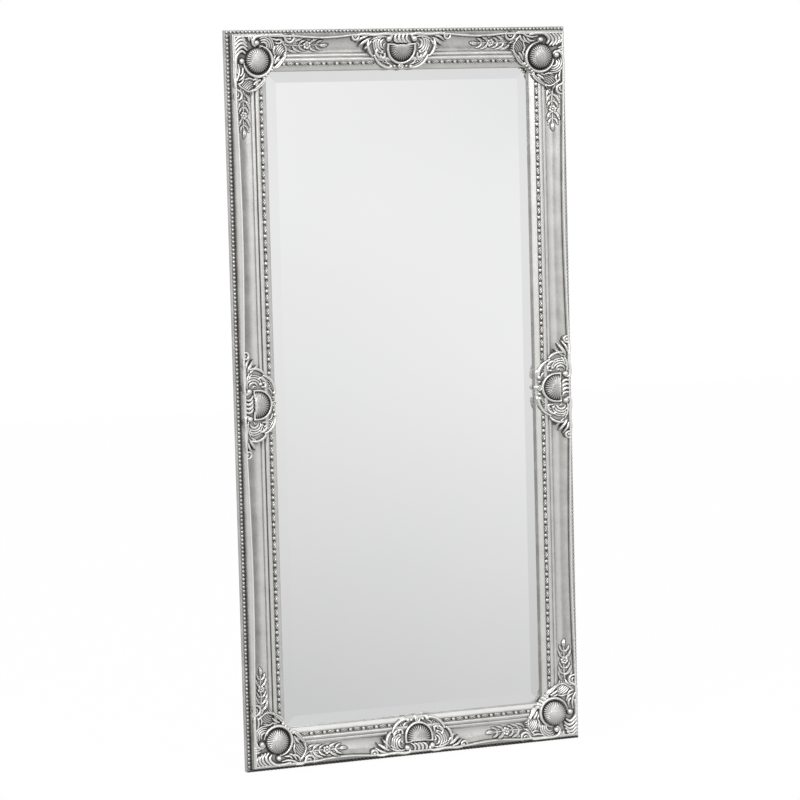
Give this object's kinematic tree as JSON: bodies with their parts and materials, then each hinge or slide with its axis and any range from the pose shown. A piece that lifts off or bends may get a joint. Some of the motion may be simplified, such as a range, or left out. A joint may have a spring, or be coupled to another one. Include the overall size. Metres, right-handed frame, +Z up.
{
  "type": "baroque mirror",
  "caption": "Tall rectangular wall mirror: bevelled glass in a deep moulded frame with pearl strips, corner and centre cartouches, leaf sprigs and D-ring hangers.",
  "frame": {"origin": "on the wall plane, which the faces of the four bumpers touch, in the middle of the width and level with the lowest edge of the frame", "axes": "+X to the right seen from the front, +Y from the mirror into the wall, +Z up"},
  "size_m": [0.84, 0.056, 1.7],
  "materials": {
    "silver_leaf": "antique silver leaf over carved wood and moulded composition, darker in the hollows",
    "mirror_glass": "silvered plate glass with a polished bevel",
    "backing_board": "plain hardboard",
    "steel": "zinc plated",
    "rubber": "matt"
  },
  "bodies": {
    "frame": {"backing_board": "backing_board", "bottom_bead_and_reel_strip": "silver_leaf", "bottom_centre_cartouche": "silver_leaf", "bottom_left_corner_cartouche": "silver_leaf", "bottom_left_rail_sprig": "silver_leaf", "bottom_left_stile_sprig": "silver_leaf", "bottom_pearl_strip": "silver_leaf", "bottom_rail": "silver_leaf", "bottom_right_corner_cartouche": "silver_leaf", "bottom_right_rail_sprig": "silver_leaf", "bottom_right_stile_sprig": "silver_leaf", "glazing_points": "steel", "hanger_screws": "steel", "left_bead_and_reel_strip": "silver_leaf", "left_centre_cartouche": "silver_leaf", "left_hanger_strap": "steel", "left_pearl_strip": "silver_leaf", "left_stile": "silver_leaf", "mirror_glass": "mirror_glass", "right_bead_and_reel_strip": "silver_leaf", "right_centre_cartouche": "silver_leaf", "right_hanger_strap": "steel", "right_pearl_strip": "silver_leaf", "right_stile": "silver_leaf", "top_bead_and_reel_strip": "silver_leaf", "top_centre_cartouche": "silver_leaf", "top_left_corner_cartouche": "silver_leaf", "top_left_rail_sprig": "silver_leaf", "top_left_stile_sprig": "silver_leaf", "top_pearl_strip": "silver_leaf", "top_rail": "silver_leaf", "top_right_corner_cartouche": "silver_leaf", "top_right_rail_sprig": "silver_leaf", "top_right_stile_sprig": "silver_leaf", "v_nails": "steel", "wall_bumpers": "rubber"},
    "left_ring": {"left_hanger_ring": "steel"},
    "right_ring": {"right_hanger_ring": "steel"}
  },
  "joints": [
    {"name": "left_ring_hinge", "type": "hinge", "parent": "frame", "child": "left_ring", "pos_m": [-0.376, -0.00325, 1.35], "axis": [1, 0, 0], "range_deg": [0, 178]},
    {"name": "right_ring_hinge", "type": "hinge", "parent": "frame", "child": "right_ring", "pos_m": [0.376, -0.00325, 1.35], "axis": [1, 0, 0], "range_deg": [0, 178]}
  ]
}
